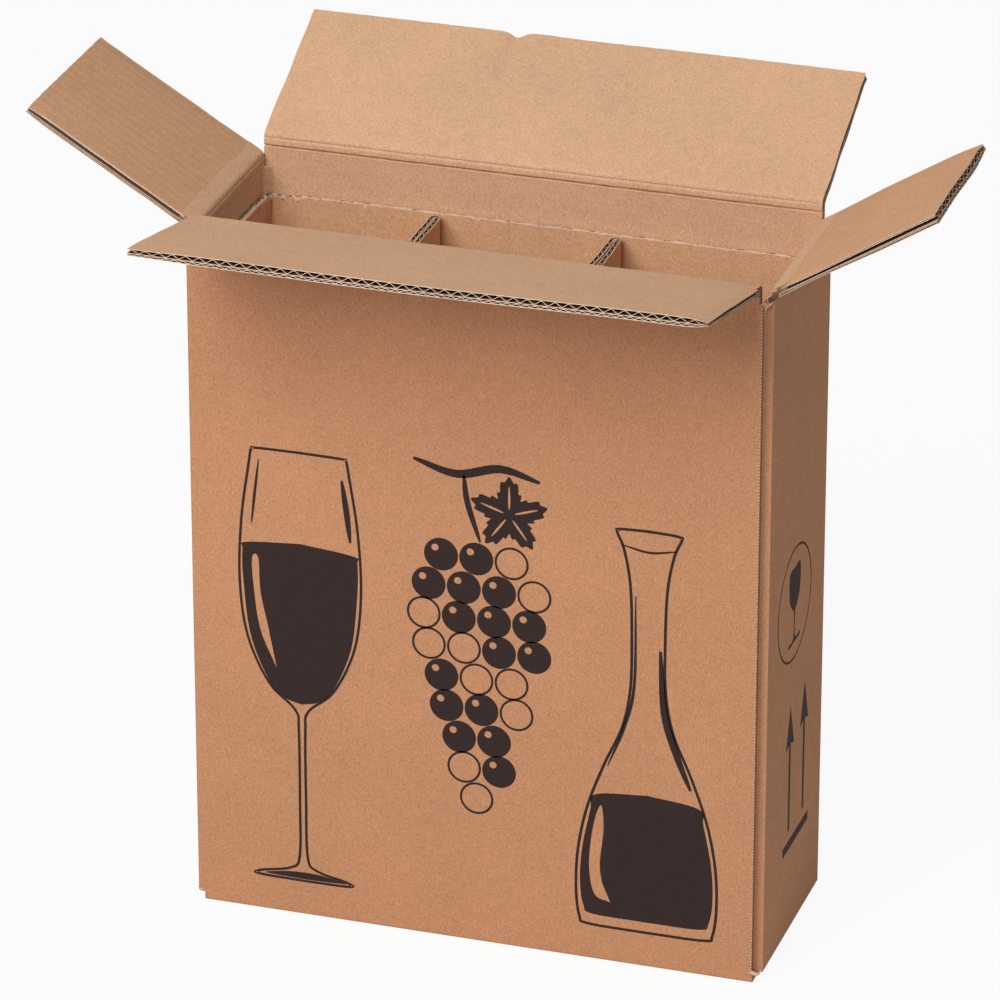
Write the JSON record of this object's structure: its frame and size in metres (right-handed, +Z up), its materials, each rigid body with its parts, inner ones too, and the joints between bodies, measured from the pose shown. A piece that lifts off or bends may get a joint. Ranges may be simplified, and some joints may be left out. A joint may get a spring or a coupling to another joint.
{
  "type": "three-bottle shipping box",
  "caption": "Tall double-wall corrugated carton with four open top flaps and a folded insert that makes three upright bottle cells.",
  "frame": {"origin": "middle of the carton's base, on the floor", "axes": "+Z up, -Y towards the front panel, +X towards the right panel"},
  "size_m": [0.494, 0.2948, 0.4534],
  "materials": {
    "outer_board": "uncoated kraft",
    "insert_board": "uncoated kraft"
  },
  "bodies": {
    "carton": {"carton_body": "outer_board", "bottle_insert": "insert_board"},
    "front_flap": {"front_flap": "outer_board"},
    "back_flap": {"back_flap": "outer_board"},
    "left_flap": {"left_flap": "outer_board"},
    "right_flap": {"right_flap": "outer_board"}
  },
  "joints": [
    {"name": "front_flap_crease", "type": "hinge", "parent": "carton", "child": "front_flap", "pos_m": [-0.001, -0.059, 0.4001], "axis": [1, 0, 0], "range_deg": [-168, 92]},
    {"name": "back_flap_crease", "type": "hinge", "parent": "carton", "child": "back_flap", "pos_m": [0, 0.059, 0.4052], "axis": [-1, 0, 0], "range_deg": [-154, 106]},
    {"name": "left_flap_crease", "type": "hinge", "parent": "carton", "child": "left_flap", "pos_m": [-0.16, 0, 0.395], "axis": [0, -1, 0], "range_deg": [-149, 111]},
    {"name": "right_flap_crease", "type": "hinge", "parent": "carton", "child": "right_flap", "pos_m": [0.16, 0.0025, 0.395], "axis": [0, 1, 0], "range_deg": [-148, 112]}
  ]
}
